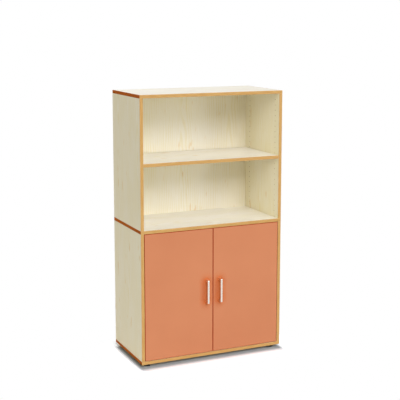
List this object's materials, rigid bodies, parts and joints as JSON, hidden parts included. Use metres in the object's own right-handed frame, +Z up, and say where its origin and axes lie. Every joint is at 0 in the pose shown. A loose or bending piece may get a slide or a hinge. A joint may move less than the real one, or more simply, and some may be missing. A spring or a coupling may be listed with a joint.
{
  "type": "bookcase with cabinet doors",
  "caption": "Tall bookcase with an open shelved upper half over a cabinet with a pair of hinged, inset doors, D handles and levelling feet.",
  "frame": {"origin": "on the floor, under the middle of the whole piece's width and depth (handles included)", "axes": "+X to the right as seen from the front, -Y out of the front, +Z up"},
  "size_m": [0.9, 0.482, 1.577],
  "materials": {
    "carcass_board": "satin pale maple surface on board",
    "front_edging": "satin orange-brown wood strip",
    "end_edging": "satin dark brown wood strip",
    "door_face": "matt apricot surface on board",
    "handle": "satin flat bar with square corners",
    "hinge_steel": "nickel-plated, pressed",
    "screw_steel": "zinc-plated",
    "shelf_pin": "nickel-plated",
    "dowel": "bare beech",
    "foot": "matt black",
    "socket": "matt grey",
    "door_pad": "soft translucent grey"
  },
  "bodies": {
    "carcass": {"top_panel": "carcass_board", "middle_panel": "carcass_board", "bottom_panel": "carcass_board", "upper_left_side": "carcass_board", "upper_right_side": "carcass_board", "lower_left_side": "carcass_board", "lower_right_side": "carcass_board", "upper_back": "carcass_board", "lower_back": "carcass_board", "adjustable_shelf": "carcass_board", "cabinet_shelf": "carcass_board", "top_panel_front_edging": "front_edging", "middle_panel_front_edging": "front_edging", "bottom_panel_front_edging": "front_edging", "upper_left_side_edging": "front_edging", "upper_right_side_edging": "front_edging", "lower_left_side_edging": "front_edging", "lower_right_side_edging": "front_edging", "adjustable_shelf_edging": "front_edging", "cabinet_shelf_edging": "front_edging", "top_panel_end_edgings": "end_edging", "middle_panel_end_edgings": "end_edging", "bottom_panel_end_edgings": "end_edging", "carcass_dowels": "dowel", "adjustable_shelf_pins": "shelf_pin", "cabinet_shelf_pins": "shelf_pin", "left_hinge_arms": "hinge_steel", "right_hinge_arms": "hinge_steel", "left_hinge_plates": "hinge_steel", "right_hinge_plates": "hinge_steel", "left_hinge_plate_screws": "hinge_steel", "right_hinge_plate_screws": "hinge_steel", "left_hinge_arm_screws": "hinge_steel", "right_hinge_arm_screws": "hinge_steel", "door_stop": "carcass_board", "door_stop_screws": "screw_steel", "levelling_feet": "foot", "foot_sockets": "socket"},
    "left_door": {"left_door": "door_face", "left_handle": "handle", "left_handle_screws": "screw_steel", "left_hinge_cups": "hinge_steel", "left_hinge_pins": "hinge_steel", "left_door_pad": "door_pad"},
    "right_door": {"right_door": "door_face", "right_handle": "handle", "right_handle_screws": "screw_steel", "right_hinge_cups": "hinge_steel", "right_hinge_pins": "hinge_steel", "right_door_pad": "door_pad"}
  },
  "joints": [
    {"name": "left_door_hinge", "type": "hinge", "parent": "carcass", "child": "left_door", "pos_m": [-0.4065, -0.1995, 0.414], "axis": [0, 0, -1], "range_deg": [0, 95]},
    {"name": "right_door_hinge", "type": "hinge", "parent": "carcass", "child": "right_door", "pos_m": [0.4065, -0.1995, 0.414], "axis": [0, 0, 1], "range_deg": [0, 95]}
  ]
}
